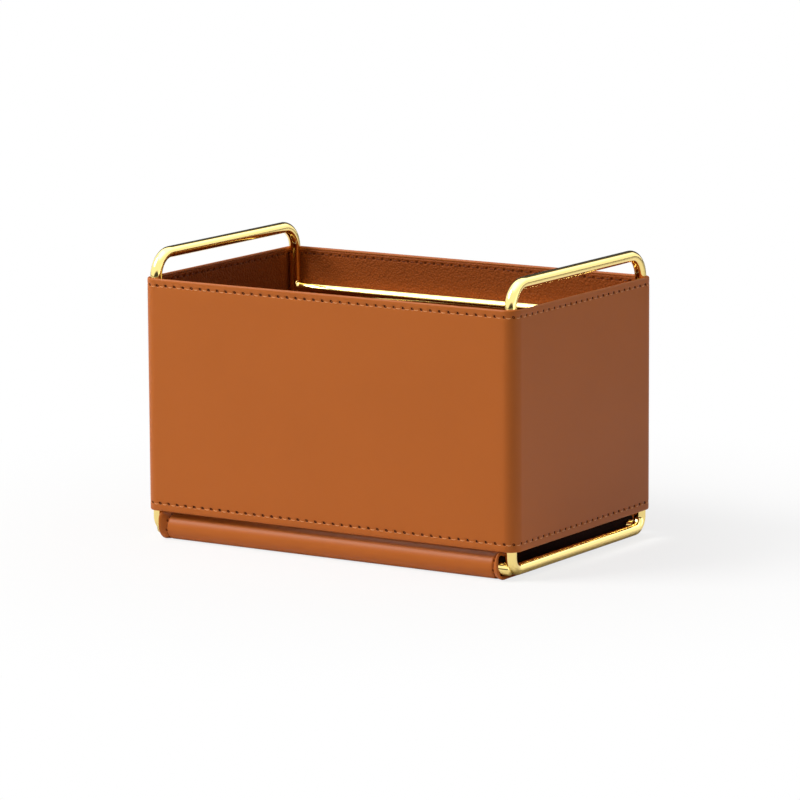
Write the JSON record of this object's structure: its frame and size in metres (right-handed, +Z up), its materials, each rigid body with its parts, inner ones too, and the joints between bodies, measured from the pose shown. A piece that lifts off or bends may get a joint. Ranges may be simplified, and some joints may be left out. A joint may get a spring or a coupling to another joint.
{
  "type": "storage basket",
  "caption": "Open rectangular leather basket on a welded frame of polished round rod, whose end loops stand up as handles.",
  "frame": {"origin": "middle of the underside, on the surface that the basket stands on", "axes": "+X along the length to the right-hand handle, +Y to the rear, +Z up"},
  "size_m": [0.185, 0.1156, 0.125],
  "materials": {
    "polished_gold": "polished gold plating on steel rod",
    "tan_leather": "smooth satin, coated",
    "lining_leather": "fine pebbled grain, matte",
    "stiff_board": "plain pressed board",
    "black_foam": "matte closed-cell foam"
  },
  "bodies": {
    "root": {"left_end_ring": "polished_gold", "right_end_ring": "polished_gold", "upper_front_rail": "polished_gold", "upper_rear_rail": "polished_gold", "lower_front_rail": "polished_gold", "lower_rear_rail": "polished_gold", "wall_outer_skin": "tan_leather", "wall_lining": "lining_leather", "wall_board_front": "stiff_board", "wall_board_rear": "stiff_board", "wall_board_left": "stiff_board", "wall_board_right": "stiff_board", "base_outer_skin": "tan_leather", "base_core": "black_foam", "base_lining": "lining_leather"}
  },
  "joints": []
}
